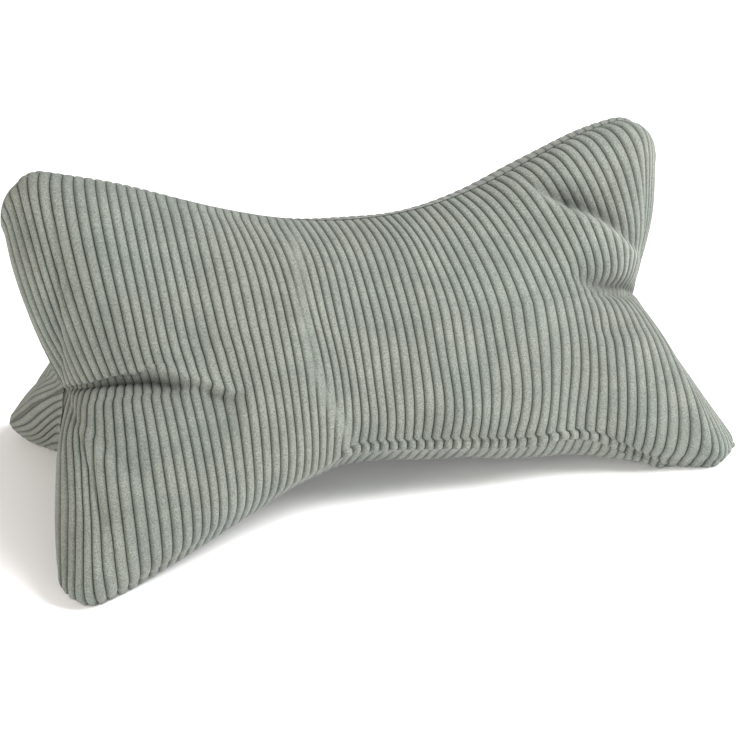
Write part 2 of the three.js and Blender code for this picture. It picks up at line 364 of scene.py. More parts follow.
# The ribs start at the seams, rising over RIB_STARTS behind a line that is pulled in. Plain panels
# have no such line, and their ribs rise slowly, as on the left top ear of the front panel. There a
# slight swell of the front panel hides the top seam.
SEAM_PULL, SEAM_PULL_WIDTH = 0.7, 1.6
RIB_STARTS, RIB_STARTS_SLOWLY = 2.5, 20
HIDDEN_FROM, HIDDEN_TO = 20, 70
SWELL, SWELL_AT, SWELL_WIDTH = 1.6, 5, 4

# The back ears' tips are stuffed a little fuller
TIP_SWELL, TIP_SWELL_REACH, TIP_SWELL_GROWS = 3.0, 20, 14

# How far from the sewing folds, lumps and all relief reach their full height, and the colour rises from
# the grooves' painted shade
FOLDS_GROW, LUMPS_GROW, RELIEF_GROWS = 8, 25, 1.2
SEAM_SHADE = 1.4

# The cloth is palest on a fold raised by CREST, and its painted shade is darkest in one sunk by DEPTH
CREST, CREST_LIGHT = 3, 0.1
DEPTH, DEPTH_SHADE, DEPTH_POWER = 8, 0.8, 1.5

# The colours of a rib from its groove, by its side at SIDE_AT of its profile, to its back, and the
# two faint tints between which the cloth varies. The back has the cloth's own colour; the side and
# the groove are darker with painted shade.
GROOVE_SHADE, SIDE_SHADE, BACK_COLOUR = "#0e100d", "#50544f", "#6c706b"
SIDE_AT = 0.3
COOL_TINT, WARM_TINT = "#f8fdfb", "#fffcf8"

# The pile's own tufts, a fifth of a millimetre, are too fine to show, and are drawn as specks of
# 0.8 mm that stand PILE_DEPTH high. The nap is brushed in patches of about 2 cm, and the tint
# changes over twice that.
PILE = Mottle(size=0.8, detail=2, low=0.6, high=1.4)
NAP_PATCHES = Mottle(size=22.2, detail=3, low=0.88, high=1.12)
TINTS = Mottle(size=45.5, detail=2, low=0, high=1)
PILE_DEPTH = 0.5

# The grid of half a panel
COLUMNS_PER_WALE = 8
ROWS = 72
ROWS_CLOSER = 0.3
CURVE_STEPS = 240

# The camera. FOCAL_PIXELS and the two AIM_ values are in pixels of a picture of IMAGE_SIDE.
CAMERA_AZIMUTH = -18.3
CAMERA_ELEVATION = 27.6
CAMERA_ROLL = -2.5
CAMERA_DISTANCE = 1390
FOCAL_PIXELS = 2170
AIM_RIGHT_PIXELS, AIM_DOWN_PIXELS = 8, 27.6
IMAGE_SIDE = 736
SENSOR = 36


def smooth(x, low, high):
    """0 up to low and 1 from high on: 3t^2 - 2t^3, with t the share of the way between them."""
    t = np.clip((x - low) / (high - low), 0, 1)
    return t * t * (3 - 2 * t)


def bump(x, centre, width):
    """exp(-((x - centre) / width)^2)."""
    return np.exp(-(((x - centre) / width) ** 2))


def mix(a, b, share):
    """a + (b - a) share."""
    return a + (b - a) * share


def polar(angle, distance):
    """The points (x, y) = distance (cos, sin) of an angle."""
    angle = np.radians(angle)
    return np.stack(np.broadcast_arrays(np.cos(angle) * distance, np.sin(angle) * distance), -1)


def bezier(points, t):
    """The curve of the control points P_i: the sum of C(n, i) (1 - t)^(n - i) t^i P_i."""
    n = len(points) - 1
    t = np.asarray(t)[..., None]
    return sum(comb(n, i) * (1 - t) ** (n - i) * t**i * point for i, point in enumerate(points))


class Outline(NamedTuple):
    """Lines of points (x, radius) round an ear: the seam out from the waist and the end edge out
    from the pole, both to where the ear reaches furthest, and the rim from pole to highest."""

    seam: np.ndarray
    edge: np.ndarray
    rim: np.ndarray


def ear_outline(wing, end, ear):
    """A cubic from the waist to the tip's shoulder, the round tip, and from where a line to the pole
    touches it a quadratic to the pole."""
    start = wing.waist_x * SIGN[end]
    waist = np.array([start, wing.waist_radius])
    centre = np.array([ear.reach, ear.height])
    shoulder = centre + polar(ear.slope + 90, ear.round)
    span = shoulder[0] - start
    leave = waist + polar(0, ear.waist_hold * span)
    arrive = shoulder - polar(ear.slope, ear.tip_hold * span)
    steps = np.linspace(0, 1, CURVE_STEPS)
    long_edge = bezier([waist, leave, arrive, shoulder], steps)

    pole = np.array([POLE_X[end], 0.0])
    to_pole = pole - centre
    touching = np.arccos(ear.round / np.hypot(*to_pole))
    last_angle = np.degrees(np.arctan2(to_pole[1], to_pole[0]) + touching)
    tip = centre + polar(np.linspace(ear.slope + 90, last_angle, CURVE_STEPS), ear.round)
    corner = tip[-1]
    bulge = (corner + pole) / 2 + polar(last_angle, 2 * ear.bow)
    points = np.concatenate([long_edge, tip[1:], bezier([corner, bulge, pole], steps)[1:]])
    furthest, highest = points.argmax(0)
    return Outline(points[: furthest + 1], points[furthest:][::-1], points[highest:][::-1])


OUTLINES = {key: ear_outline(*key, ear) for key, ear in EARS.items()}


class Half(NamedTuple):
    """Half a panel: the wing that it covers, on which side, and whether it is the panel's lower
    half, past the mid-line."""

    wing: Wing
    side: int
    lower: bool


PANELS = [
    (FRONT_PANEL, [Half(TOP, 1, False), Half(FRONT, -1, True)]),
    (BACK_PANEL, [Half(TOP, -1, False), Half(BACK, 1, True)]),
    (UNDERSIDE, [Half(FRONT, 1, False), Half(BACK, -1, True)]),
]


def by_end(wing, x, value):
    """value(end) of the ear whose outline holds x: a wing's ears part at its narrowest place."""
    return np.where(x < wing.waist_x, value(LEFT), value(RIGHT))


def seam_radius(wing, x):
    """The seam's distance from the long axis, less the dent in the front seam."""
    radius = by_end(wing, x, lambda end: np.interp(SIGN[end] * x, *OUTLINES[wing, end].seam.T))
    return radius - DENT_DEPTH * bump(x, DENT_X, DENT_WIDTH) if wing == FRONT else radius


def edge_radius(wing, x):
    """The end edge's distance from the long axis, past the pole."""
    return by_end(wing, x, lambda end: np.interp(np.abs(x), *OUTLINES[wing, end].edge.T))


def rim_reach(wing, x, radius):
    """How far out the ear's rim lies at a radius."""
    return by_end(wing, x, lambda end: np.interp(radius, *OUTLINES[wing, end].rim.T[::-1]))


def mid_line(panel, x):
    """(whether x lies between the poles, the mid-line's distance from the long axis): the panel's
    own at the waist times (1 - (|x| / pole)^MID_POWER)^MID_FALL."""
    reach = np.abs(x)
    pole = np.where(x < 0, POLE_X[LEFT], POLE_X[RIGHT])
    radius = panel.mid_radius * (1 - np.minimum(1, reach / pole) ** MID_POWER) ** MID_FALL
    return reach < pole, radius


def section(wing, panel, x, share):
    """A point (radius, rise) of half a panel in its wing's plane, by a cubic from the seam, at
    share 0, to the mid-line, or past the pole the end edge, at 1. Near the end edge it is drawn
    to the plane by 1 - sqrt(1 - (1 - d)^2), with d the way in from the rim over END_ROUND."""
    reach = np.abs(x)
    pole = np.where(x < 0, POLE_X[LEFT], POLE_X[RIGHT])
    inside, mid_radius = mid_line(panel, x)
    seam = polar(0, seam_radius(wing, x))
    end_edge = polar(0, edge_radius(wing, x))
    middle = np.where(inside[..., None], polar(MID_LINE_ANGLE, mid_radius), end_edge)

    at_ear = smooth(reach, EAR_FROM * pole, EAR_TO * pole)
    seam_angle = mix(panel.seam_angle, SEAM_ANGLE_AT_EAR, at_ear)
    mid_angle = (
        MID_ANGLE_AT_WAIST
        + (MID_ANGLE_AT_POLE - MID_ANGLE_AT_WAIST) * smooth(reach, pole - CREASE_LENGTH, pole)
        + (MID_ANGLE_AT_EAR - MID_ANGLE_AT_POLE) * smooth(reach, pole, pole + BLUNT_LENGTH)
    )
    chord = np.linalg.norm(seam - middle, axis=-1)
    seam_hold = chord * mix(panel.seam_hold, SEAM_HOLD_AT_EAR, at_ear)
    mid_hold = chord * mix(MID_HOLD_AT_WAIST, MID_HOLD_AT_EAR, at_ear)
    leave = seam + polar(seam_angle, seam_hold)
    arrive = middle + polar(mid_angle, mid_hold)
    point = bezier([seam, leave, arrive, middle], share)

    flat = mix(seam[..., 0], middle[..., 0], share)
    inward = np.clip((rim_reach(wing, x, flat) - reach) / END_ROUND, 0, 1)
    holds = smooth(flat - np.where(inside, middle[..., 0], 0), 0, ROUND_HOLDS)
    drawn = holds * (1 - np.sqrt(1 - (1 - inward) ** 2))
    return mix(point, polar(0, flat), drawn[..., None])


def turned(points, axis, angle):
    """The points turned by an angle about the X or Y axis."""
    cos, sin = np.cos(np.radians(angle)), np.sin(np.radians(angle))
    x, y, z = np.moveaxis(points, -1, 0)
    if axis == "X":
        return np.stack([x, y * cos - z * sin, y * sin + z * cos], -1)
    return np.stack([x * cos + z * sin, y, z * cos - x * sin], -1)


def skin(wing, side, panel, x, share):
    """A point of the smooth skin: the section turned to its wing with its lean, the roll and the
    twist, then tilted and lifted to the axis."""
    radius, rise = np.moveaxis(section(wing, panel, x, share), -1, 0)
    ear_lean = by_end(wing, x, lambda end: EARS[wing, end].lean)
    lean = mix(wing.lean, ear_lean, smooth(np.abs(x), *LEAN_GROWS)) * smooth(radius, *LEAN_HOLDS)
    place = np.stack([x, radius, side * rise], -1)
    place = turned(place, "X", wing.angle + lean + ROLL + TWIST * x / TWIST_LENGTH)
    return turned(place, "Y", AXIS_TILT) + AXIS_MIDDLE


def on_skin(wing, side, panel, x, share):
    """A point of half a panel on the skin. The front seam leaves the rim: under the front ears the
    front panel's share loses and the underside's gains SEAM_UNDER (1 - share)^2, and before the
    right ear the other way round by SEAM_OVER. A share less than 0 lies past the rim, on the wing's
    other half."""
    if wing != FRONT:
        return skin(wing, side, panel, x, share)
    under = -SEAM_OVER * bump(x, SEAM_OVER_X, SEAM_OVER_WIDTH)
    for end, sign in SIGN.items():
        under = under + SEAM_UNDER[end] * smooth(sign * x, SEAM_UNDER_FROM[end], SEAM_UNDER_TO[end])
    under = under * (1 - share) ** 2
    share = share + (-under if panel == FRONT_PANEL else under)
    other, _ = other_half(wing, side)
    own_points = skin(wing, side, panel, x, np.maximum(share, 0))
    other_points = skin(wing, -side, other, x, np.maximum(-share, 0))
    return np.where((share < 0)[..., None], other_points, own_points)


def other_half(wing, side):
    """(panel, lower) of the half on the wing's other side."""
    for panel, halves in PANELS:
        for half in halves:
            if half.wing == wing and half.side == -side:
                return panel, half.lower


def tips(wing):
    """Where a wing's two ears reach furthest along the pillow."""
    return -OUTLINES[wing, LEFT].seam[-1, 0], OUTLINES[wing, RIGHT].seam[-1, 0]


def columns():
    """Places of the columns on the cloth, COLUMNS_PER_WALE to a rib."""
    step = WALE_PITCH / COLUMNS_PER_WALE
    first, last = (-MOST_CLOTH - WALE_START) / step, (MOST_CLOTH - WALE_START) / step
    return WALE_START + step * np.arange(np.ceil(first), last)


def rows():
    """Shares of the way from the seam to the mid-line, closer near both:
    w - ROWS_CLOSER sin(2 pi w) / (2 pi)."""
    w = np.linspace(0, 1, ROWS)
    return w - ROWS_CLOSER * np.sin(2 * np.pi * w) / (2 * np.pi)


class Spread(NamedTuple):
    """How the ribs spread over an ear of half a panel: places v out to the end edge, the length of
    skin to each at each t, and the place u on the cloth of the end edge at each t."""

    v: np.ndarray
    lengths: np.ndarray
    last: np.ndarray


def spread(wing, side, panel, lower, t, end):
    """The Spread of one ear: its end edge and the pole's are mixed by the power ENDS_LATE of t."""
    steps = np.linspace(1, 0, EVEN_STEPS) ** 2
    v = (CLOTH_END - (CLOTH_END - EVEN_FROM) * steps) * SIGN[end]
    x, share = cloth_to_pillow(wing, panel, v[:, None], t, lower)
    lengths = lengths_along(on_skin(wing, side, panel, x, share), 0)
    ends, poles = (FRONT_ENDS, FRONT_POLES) if panel == FRONT_PANEL else (PLAIN_ENDS, PLAIN_POLES)
    return Spread(v, lengths, mix(ends[wing][end], poles[end], t[0] ** ENDS_LATE[wing]))


def both_spreads(wing, side, panel, lower, t):
    """The Spread of each of the two ears."""
    return {end: spread(wing, side, panel, lower, t, end) for end in SIGN}


def flat_place(spreads, u):
    """v at each u and t. With d the way past EVEN_FROM, of D to the end edge, and L the skin's
    length there, the length of skin is d - (D - L) (d / D)^2."""
    places = u.copy()
    for end, sign in SIGN.items():
        ear = spreads[end]
        there = sign * u[:, 0] > EVEN_FROM
        past = sign * u[there] - EVEN_FROM
        cloth = ear.last - EVEN_FROM
        length = past - (cloth - ear.lengths[-1]) * (past / cloth) ** 2
        by_t = [np.interp(*row, ear.v) for row in zip(length.T, ear.lengths.T)]
        places[there] = np.stack(by_t, -1)
    return places


def reaches_round(wing, panel, t, end):
    """How far past the end edge a panel reaches, less than 0 where the other covers it."""
    full = REACHES_ROUND[end] * smooth(t[0], *REACH_GROWS) * smooth(1 - t[0], 0, REACH_FADES)
    if wing == BACK:
        return 0 * full
    return full if panel == FRONT_PANEL else -full


def along_ribs(v, column, at_left=None, at_right=None):
    """A column of RIBS at v, averaged over a window. At the ends it has the values given, or else
    its own last ones."""
    values = [getattr(rib, column) for rib in RIBS]
    at_left = values[0] if at_left is None else at_left
    at_right = values[-1] if at_right is None else at_right
    knots = [-CLOTH_END, *(rib.place for rib in RIBS), CLOTH_END]
    values = [at_left, *values, at_right]
    window = RIB_WINDOW * (1 - smooth(np.abs(v), RIB_WINDOW_HOLDS, CLOTH_END))
    return np.mean([np.interp(v + d * window, knots, values) for d in (-1, -0.5, 0, 0.5, 1)], 0)


def rib_ends(wing, panel, v):
    """(x at the seam, x at the mid-line) of a rib. On a plain panel it is drawn in by the power
    DRAWN_IN of its share of the way to the end."""
    low, high = tips(wing)
    if panel == FRONT_PANEL:
        seam = along_ribs(v, "upper" if wing == TOP else "lower", low + CLOTH_END, high - CLOTH_END)
        middle = along_ribs(v, "middle", CLOTH_END - POLE_X[LEFT], POLE_X[RIGHT] - CLOTH_END)
        return v + seam, v + middle
    drawn = np.abs(v / CLOTH_END) ** DRAWN_IN
    seam = np.where(v < 0, low + CLOTH_END, high - CLOTH_END)
    middle = np.where(v < 0, CLOTH_END - POLE_X[LEFT], POLE_X[RIGHT] - CLOTH_END)
    return v + seam * drawn, v + middle * drawn


def rib_way(wing, panel, v, t):
    """How much of its way along the pillow a rib has made at t, as Rib tells."""
    way = np.sin(np.pi / 2 * t)
    if panel != FRONT_PANEL:
        return way * np.ones_like(v)
    if wing == TOP:
        return mix(way, t, along_ribs(v, "straight")) ** along_ribs(v, "late_above")
    return way ** along_ribs(v, "late_below")


def middle_radius(wing, panel, x):
    """The distance along the wing of the mid-line, or past the pole of the end edge."""
    inside, mid_radius = mid_line(panel, x)
    return np.where(inside, MID_LINE_ALONG * mid_radius, edge_radius(wing, x))


def share_at(wing, panel, x, radius):
    """The share of the section at x whose point lies at a distance along the wing."""
    seam, middle = seam_radius(wing, x), middle_radius(wing, panel, x)
    return np.clip((seam - radius) / np.maximum(seam - middle, 1e-6), 0, 1)


def gathered(wing, v, t, way):
    """How far a rib of an ear shifts along the pillow to lie along the end edge: the edge's bow
    from the last rib's own way, times the square of the way from GATHER_FROM to CLOTH_END."""
    bows = {}
    for end, sign in SIGN.items():
        edge = OUTLINES[wing, end].edge
        edge_x = np.interp(edge[-1, 1] * (1 - t), edge[:, 1], edge[:, 0])
        bows[end] = sign * (edge_x - mix(edge[-1, 0], POLE_X[end], way))
    near_end = np.clip((np.abs(v) - GATHER_FROM) / (CLOTH_END - GATHER_FROM), 0, 1) ** 2
    return near_end * np.where(v < 0, bows[LEFT], bows[RIGHT])


def cloth_to_pillow(wing, panel, v, t, lower):
    """(x, share) of a point of the cloth. A rib runs from the seam to the mid-line by
    x = seam + (middle - seam) way, and in the ears it is gathered along the end edge. Its distance
    along the wing is linear in t and gives the share. Then the ribs wander a little, slide at the
    folds, and bend to their beads."""
    seam_x, middle_x = rib_ends(wing, panel, v)
    way = rib_way(wing, panel, v, t)
    x = mix(seam_x, middle_x, way) + gathered(wing, v, t, way)
    radius = mix(seam_radius(wing, seam_x), middle_radius(wing, panel, middle_x), t)
    share = share_at(wing, panel, x, radius)
    s = 2 - share if lower else share

    free = smooth(CLOTH_END - np.abs(v), 0, HELD_BY_END)
    x = x + WANDER * free * wandering(x, s)
    if panel == FRONT_PANEL:
        x = x + free * folded(x, s).slide
        if wing == FRONT:
            x = x + BEAD_SHIFT * beaded(x) * free * (1 - smooth(t * ACROSS, *BEAD_BEND))
    share = share_at(wing, panel, x, radius)
    return x, np.where(t == 0, 0, np.where((t == 1) | (np.abs(v) == CLOTH_END), 1, share))


def unevenness(points):
    """Lumps of the filling: a sum of plane waves of a few centimetres, in mm."""
    x, y, z = np.moveaxis(points, -1, 0)
    return (
        0.50 * np.sin(x / 17 + y / 29 + 1.3)
        + 0.45 * np.sin(y / 15 - z / 21 + x / 47)
        + 0.35 * np.sin(z / 12 + x / 26 + 2.1)
        + 0.25 * np.sin(x / 9.5 - y / 13 + z / 16)
    )


def wandering(x, s):
    """The ribs' slight wandering from side to side: a sum of two waves over the panel, up to 1."""
    long_wave = np.sin(x / 19 + 3.7 * s) * np.sin(5.3 * s - x / 31)
    short_wave = np.sin(x / 8.3 - 6.1 * s + 1.7)
    return 0.6 * long_wave + 0.4 * short_wave


class Folded(NamedTuple):
    """What the folds do at a point: they raise it, slide its rib along and crush it."""

    height: np.ndarray
    slide: np.ndarray
    crush: np.ndarray


def folded(x, s):
    """The sum of the folds. With d the distance to the right of a fold's line in the panel, where
    s counts ACROSS to 1, and q = sqrt(d^2 + edge^2), it fades as exp(-(q - edge) / width) and turns
    from its left to its right value as (1 + d / q) / 2."""
    height, slide, crush = np.zeros((3, *np.broadcast(x, s).shape))
    for fold in FOLDS:
        away, (left, right, slide_left, slide_right, crushed) = nearest_on(fold.knots, x, s)
        softened_away = np.hypot(away, fold.edge)
        turn = away / softened_away
        fade = np.exp(-(softened_away - fold.edge) / fold.width)
        height += mix(left, right, (1 + turn) / 2) * fade
        slide += mix(slide_left, slide_right, (1 + turn) / 2) * fade
        crush += crushed * bump(away, 0, CRUSH_WIDTH)
    return Folded(height, slide, crush)


def nearest_on(knots, x, s):
    """(the distance to the right of a line of knots, the knots' values at the nearest place)."""
    shape = np.broadcast(x, s).shape
    nearest, away, *here = np.full(shape, np.inf), *np.zeros((6, *shape))
    for knot, following in zip(knots, knots[1:]):
        start = np.array([knot.x, knot.s * ACROSS])
        way = np.array([following.x, following.s * ACROSS]) - start
        dx, ds = x - start[0], s * ACROSS - start[1]
        along = np.clip((dx * way[0] + ds * way[1]) / way.dot(way), 0, 1)
        distance = np.hypot(dx - along * way[0], ds - along * way[1])
        nearer = distance < nearest
        nearest = np.where(nearer, distance, nearest)
        away = np.where(nearer, np.copysign(distance, ds * way[0] - dx * way[1]), away)
        here = [
            np.where(nearer, mix(before, after, along), value)
            for value, before, after in zip(here, knot[2:], following[2:])
        ]
    return away, here


def beaded(x):
    """Where the front seam has beads."""
    return smooth(x, BEADS_FROM - BEADS_GROW, BEADS_FROM)


def seam_hidden(wing, x):
    """Where the top seam hides behind the front panel's swell."""
    return smooth(-x, HIDDEN_FROM, HIDDEN_TO) if wing == TOP else np.zeros_like(x)


def rib_profile(u):
    """A rib's round back, from 0 in the groove to 1: 1 - |2t - 1|^p, with t the way across it."""
    t = np.mod((u - WALE_START) / WALE_PITCH, 1)
    return 1 - np.abs(2 * t - 1) ** WALE_ROUNDNESS


class Grid(NamedTuple):
    """Half a panel: its points, how far each is raised, and what its colour depends on."""

    points: np.ndarray
    raised: np.ndarray
    rib: np.ndarray
    fold_paleness_and_shade: np.ndarray


def lengths_along(points, axis):
    """How far each point of a grid lies from the first along an axis, by its edges' lengths."""
    steps = np.linalg.norm(np.diff(points, axis=axis), axis=-1)
    return np.insert(np.cumsum(steps, axis), 0, 0, axis)


def by_end_of(u, values):
    """Each column's value of the ear it lies on, from those of the two ears at each t."""
    return np.where(u < 0, values[LEFT][None, :], values[RIGHT][None, :])


def half_places(wing, side, panel, u, t, lower):
    """(u, points, x, s) of half a panel, u cut off where the panel ends. Past the end edge the cloth
    lies on the wing's other half, as far from the edge as the rib that is as far before it."""
    spreads = both_spreads(wing, side, panel, lower, t)
    last = by_end_of(u, {end: ear.last for end, ear in spreads.items()})
    reach = last + by_end_of(u, {end: reaches_round(wing, panel, t, end) for end in SIGN})
    u = np.clip(u, -reach, reach)
    own_u = np.clip(u, -last, last)
    x, share = cloth_to_pillow(wing, panel, flat_place(spreads, own_u), t, lower)
    points = on_skin(wing, side, panel, x, share)

    other, other_lower = other_half(wing, side)
    spreads = both_spreads(wing, -side, other, other_lower, t)
    other_last = by_end_of(u, {end: ear.last for end, ear in spreads.items()})
    past = np.maximum(np.abs(u) - last, 0)
    other_v = flat_place(spreads, np.sign(u) * (other_last - past))
    other_x, other_share = cloth_to_pillow(wing, other, other_v, t, other_lower)
    other_points = on_skin(wing, -side, other, other_x, other_share)
    points = np.where((past > 0)[..., None], other_points, points)
    return u, points, x, 2 - share if lower else share


def half_panel(wing, side, panel, lower):
    """The grid of half a panel. In its lower half s runs from 2 at the seam to 1."""
    t = rows()[None, :]
    u, points, x, s = half_places(wing, side, panel, columns()[:, None], t, lower)

    from_seam = lengths_along(points, 1)
    along = lengths_along(points, 0)
    from_end = np.minimum(along, along[-1] - along)
    from_sewing = np.minimum(from_seam, from_end)

    front = panel == FRONT_PANEL
    folds = folded(x, s) if front else Folded(*np.zeros((3, *x.shape)))
    crushed = np.clip(folds.crush, 0, 1)
    slowly = seam_hidden(wing, x) if front else 1
    rib = rib_profile(u)
    ribbed = smooth(from_seam, 0, mix(RIB_STARTS, RIB_STARTS_SLOWLY, slowly)) * (1 - crushed)
    raised = WALE_HEIGHT * (rib - WALE_MIDDLE) * ribbed
    raised -= (1 - slowly) * SEAM_PULL * bump(from_seam, 0, SEAM_PULL_WIDTH)
    raised += folds.height * smooth(from_seam, 0, FOLDS_GROW)
    raised += unevenness(points) * smooth(from_sewing, 0, LUMPS_GROW)
    raised += swell(wing, panel, x, from_seam, from_end)

    if front and wing == FRONT:
        beads, dome = bead_shape(u, x, from_seam, from_end)
        raised = mix(raised, BEAD_HEIGHT * dome + BEAD_BASE, beads)
        raised -= pucker_depth(x, from_seam)
    # Next to the sewing the colour is the grooves' painted shade
    rib = mix(rib, CRUSHED_RIB, crushed) * smooth(from_sewing, 0, SEAM_SHADE)
    raised *= smooth(from_sewing, 0, RELIEF_GROWS)
    return Grid(points, raised, rib, fold_paleness_and_shade_of(folds.height))


def fold_paleness_and_shade_of(height):
    """How pale the cloth is at folds: paler on a fold's crest, and painted shade in its depth."""
    light = CREST_LIGHT * np.clip(height / CREST, 0, 1)
    # Painted shade in a fold's depth
    painted_shade = DEPTH_SHADE * np.clip(-height / DEPTH, 0, 1) ** DEPTH_POWER
    return 1 + light - painted_shade


def swell(wing, panel, x, from_seam, from_end):
    """The front panel's swell along the hidden top seam, over which the back panel draws in as
    much, and the swell of the back ears' tips."""
    total = np.zeros_like(x)
    if wing == TOP:
        swelling = SWELL if panel == FRONT_PANEL else -SWELL
        total += swelling * seam_hidden(wing, x) * bump(from_seam, SWELL_AT, SWELL_WIDTH)
    if wing == BACK:
        at_tip = bump(np.hypot(from_seam, from_end), 0, TIP_SWELL_REACH)
        total += TIP_SWELL * at_tip * smooth(np.minimum(from_seam, from_end), 0, TIP_SWELL_GROWS)
    return total


def bead_shape(u, x, from_seam, from_end):
    """(how much a point belongs to a bead, the bead's dome sqrt(1 - a^2 - BEAD_NARROWNESS b^2)),
    with a the way from its middle along the rib over BEAD_HALF, and b across it over half a rib."""
    across = 2 * np.mod((u - WALE_START) / WALE_PITCH, 1) - 1
    along = (from_seam - BEAD_MIDDLE) / BEAD_HALF
    dome = np.sqrt(np.clip(1 - along**2 - BEAD_NARROWNESS * across**2, 0, 1))
    beads = beaded(x) * smooth(from_end, *BEADS_END) * (1 - smooth(from_seam, *BEAD_RIM))
    return beads, dome


def pucker_depth(x, from_seam):
    """The front seam's puckers, each PUCKERS_DEPTH exp(-((x - place) / width)^2), fading upwards."""
    depth = sum(bump(x, place + PUCKERS_LEAN * from_seam, PUCKERS_WIDTH) for place in PUCKERS_X)
    fading = np.exp(-from_seam / PUCKERS_REACH) * smooth(from_seam, 0, PUCKERS_GROW)
    return PUCKERS_DEPTH * depth * fading


def grid_faces(rows, cols, flip):
    """The quads of a grid of points, rows x cols."""
    index = np.arange(rows * cols).reshape(rows, cols)
    corners = [index[:-1, :-1], index[1:, :-1], index[1:, 1:], index[:-1, 1:]]
    quads = np.stack(corners, -1).reshape(-1, 4)
    return quads[:, ::-1] if flip else quads


def welded(points, faces):
    """(the first of each place's points, the faces by them): points at one place become one."""
    _, first, back = np.unique(np.round(points, 3), axis=0, return_index=True, return_inverse=True)
    return first, back.reshape(-1)[faces]


def vertex_normals(points, faces):
    """The sum of the cross products of the diagonals of the quads round each point, as a unit."""
    a, b, c, d = (points[faces[:, i]] for i in range(4))
    across = np.cross(c - a, d - b)
    normals = np.zeros_like(points)
    for corner in faces.T:
        for axis in range(3):
            normals[:, axis] += np.bincount(corner, across[:, axis], len(points))
    return normals / np.maximum(np.linalg.norm(normals, axis=1, keepdims=True), 1e-9)


def joined(grids, field):
    """A field of all the grids, a row to a point."""
    parts = [getattr(grid, field).reshape(grid.raised.size, -1) for grid in grids]
    return np.concatenate(parts)


def panel_mesh(name, panel, halves):
    """A panel: its two halves welded along the mid-line, then raised along the skin's normals and
    pressed flat where it would pass through the floor."""
    grids = [half_panel(half.wing, half.side, panel, half.lower) for half in halves]
    faces, start = [], 0
    for grid, half in zip(grids, halves):
        faces.append(start + grid_faces(*grid.raised.shape, flip=half.side > 0))
        start += grid.raised.size
    points = joined(grids, "points")
    first, quads = welded(points, np.concatenate(faces))
    points = points[first]
    points += vertex_normals(points, quads) * joined(grids, "raised")[first]
    points[:, 2] = np.maximum(points[:, 2], 0)
    mesh = mesh_of(name, points, quads)
    for field in ("rib", "fold_paleness_and_shade"):
        attribute = mesh.attributes.new(field, "FLOAT", "POINT")
        attribute.data.foreach_set("value", joined(grids, field)[first].ravel())
    piece = bpy.data.objects.new(name, mesh)
    bpy.context.scene.collection.objects.link(piece)
    return piece


def mesh_of(name, points, quads):
    """A smooth-shaded mesh of the points in metres. A quad with two corners at one point is a
    triangle."""
    faces = [tuple(dict.fromkeys(face)) for face in quads.tolist()]
    mesh = bpy.data.meshes.new(name)
    mesh.from_pydata((points * MM).tolist(), [], [face for face in faces if len(face) > 2])
    mesh.shade_smooth()
    mesh.update()
    return mesh


def linear(colour):
    """An sRGB colour written "#rrggbb" as linear RGBA."""
    value = np.array([int(colour[i : i + 2], 16) / 255 for i in (1, 3, 5)])
    rgb = np.where(value <= 0.04045, value / 12.92, ((value + 0.055) / 1.055) ** 2.4)
    return (*rgb, 1.0)


def add_node(tree, kind, links=None, **settings):
    """A new node with its settings, inputs by name as values or as sockets to link from."""
    node = tree.nodes.new(kind)
    for key, value in settings.items():
        setattr(node, key, value)
    for key, value in (links or {}).items():
        if isinstance(value, bpy.types.NodeSocket):
            tree.links.new(value, node.inputs[key])
        else:
            node.inputs[key].default_value = value
    return node


def corduroy():
    """Matte wide-wale cotton corduroy, grey sage green, with the speckle of a short dense pile and
    brushed patches of pile. Painted shade darkens each rib down its sides and in its groove below the
    colour of its back. The colour over a rib is multiplied by the tint, the speckle, the patches and,
    at folds, a paler crest and painted shade in the depth."""
    material = bpy.data.materials.new("wide-wale cotton corduroy, matte")
    material.use_nodes = True
    tree = material.node_tree
    tree.nodes.clear()
    pile, speckle = mottled(tree, PILE)
    _, patches = mottled(tree, NAP_PATCHES)
    _, tints = mottled(tree, TINTS)
    both_tints = {"Factor": tints, "A": linear(COOL_TINT), "B": linear(WARM_TINT)}
    tint = add_node(tree, "ShaderNodeMix", both_tints, data_type="RGBA").outputs["Result"]
    # Paler on the crests of folds, and painted shade in their depths
    fold_paleness_and_shade = add_node(tree, "ShaderNodeAttribute", attribute_name="fold_paleness_and_shade").outputs["Fac"]

    colour = shaded_rib_colour(tree)
    for shade in (tint, speckle, patches, fold_paleness_and_shade):
        product = add_node(tree, "ShaderNodeVectorMath", {0: colour, 1: shade}, operation="MULTIPLY")
        colour = product.outputs["Vector"]

    relief = add_node(tree, "ShaderNodeBump", {
        "Height": pile,
        "Strength": 0.5,
        "Distance": PILE_DEPTH * MM,
    })
    shader = add_node(tree, "ShaderNodeBsdfPrincipled", {
        "Base Color": colour,
        "Normal": relief.outputs["Normal"],
        "Roughness": 0.95,
        "Specular IOR Level": 0.2,
        "Sheen Weight": 0.15,
        "Sheen Roughness": 0.5,
    })
    add_node(tree, "ShaderNodeOutputMaterial", {"Surface": shader.outputs["BSDF"]})
    return material


def shaded_rib_colour(tree):
    """The colour over a rib, from its groove by its side to its back: the cloth's own colour on the
    back, and painted shade darkening the side and the groove.
    """
    rib = add_node(tree, "ShaderNodeAttribute", attribute_name="rib").outputs["Fac"]
    over_rib = add_node(tree, "ShaderNodeValToRGB", {"Fac": rib})
    ramp = over_rib.color_ramp
    # The groove's and the side's colours are painted shade
    ramp.elements[0].color = linear(GROOVE_SHADE)
    ramp.elements[1].color = linear(BACK_COLOUR)
    ramp.elements.new(SIDE_AT).color = linear(SIDE_SHADE)
    return over_rib.outputs["Color"]


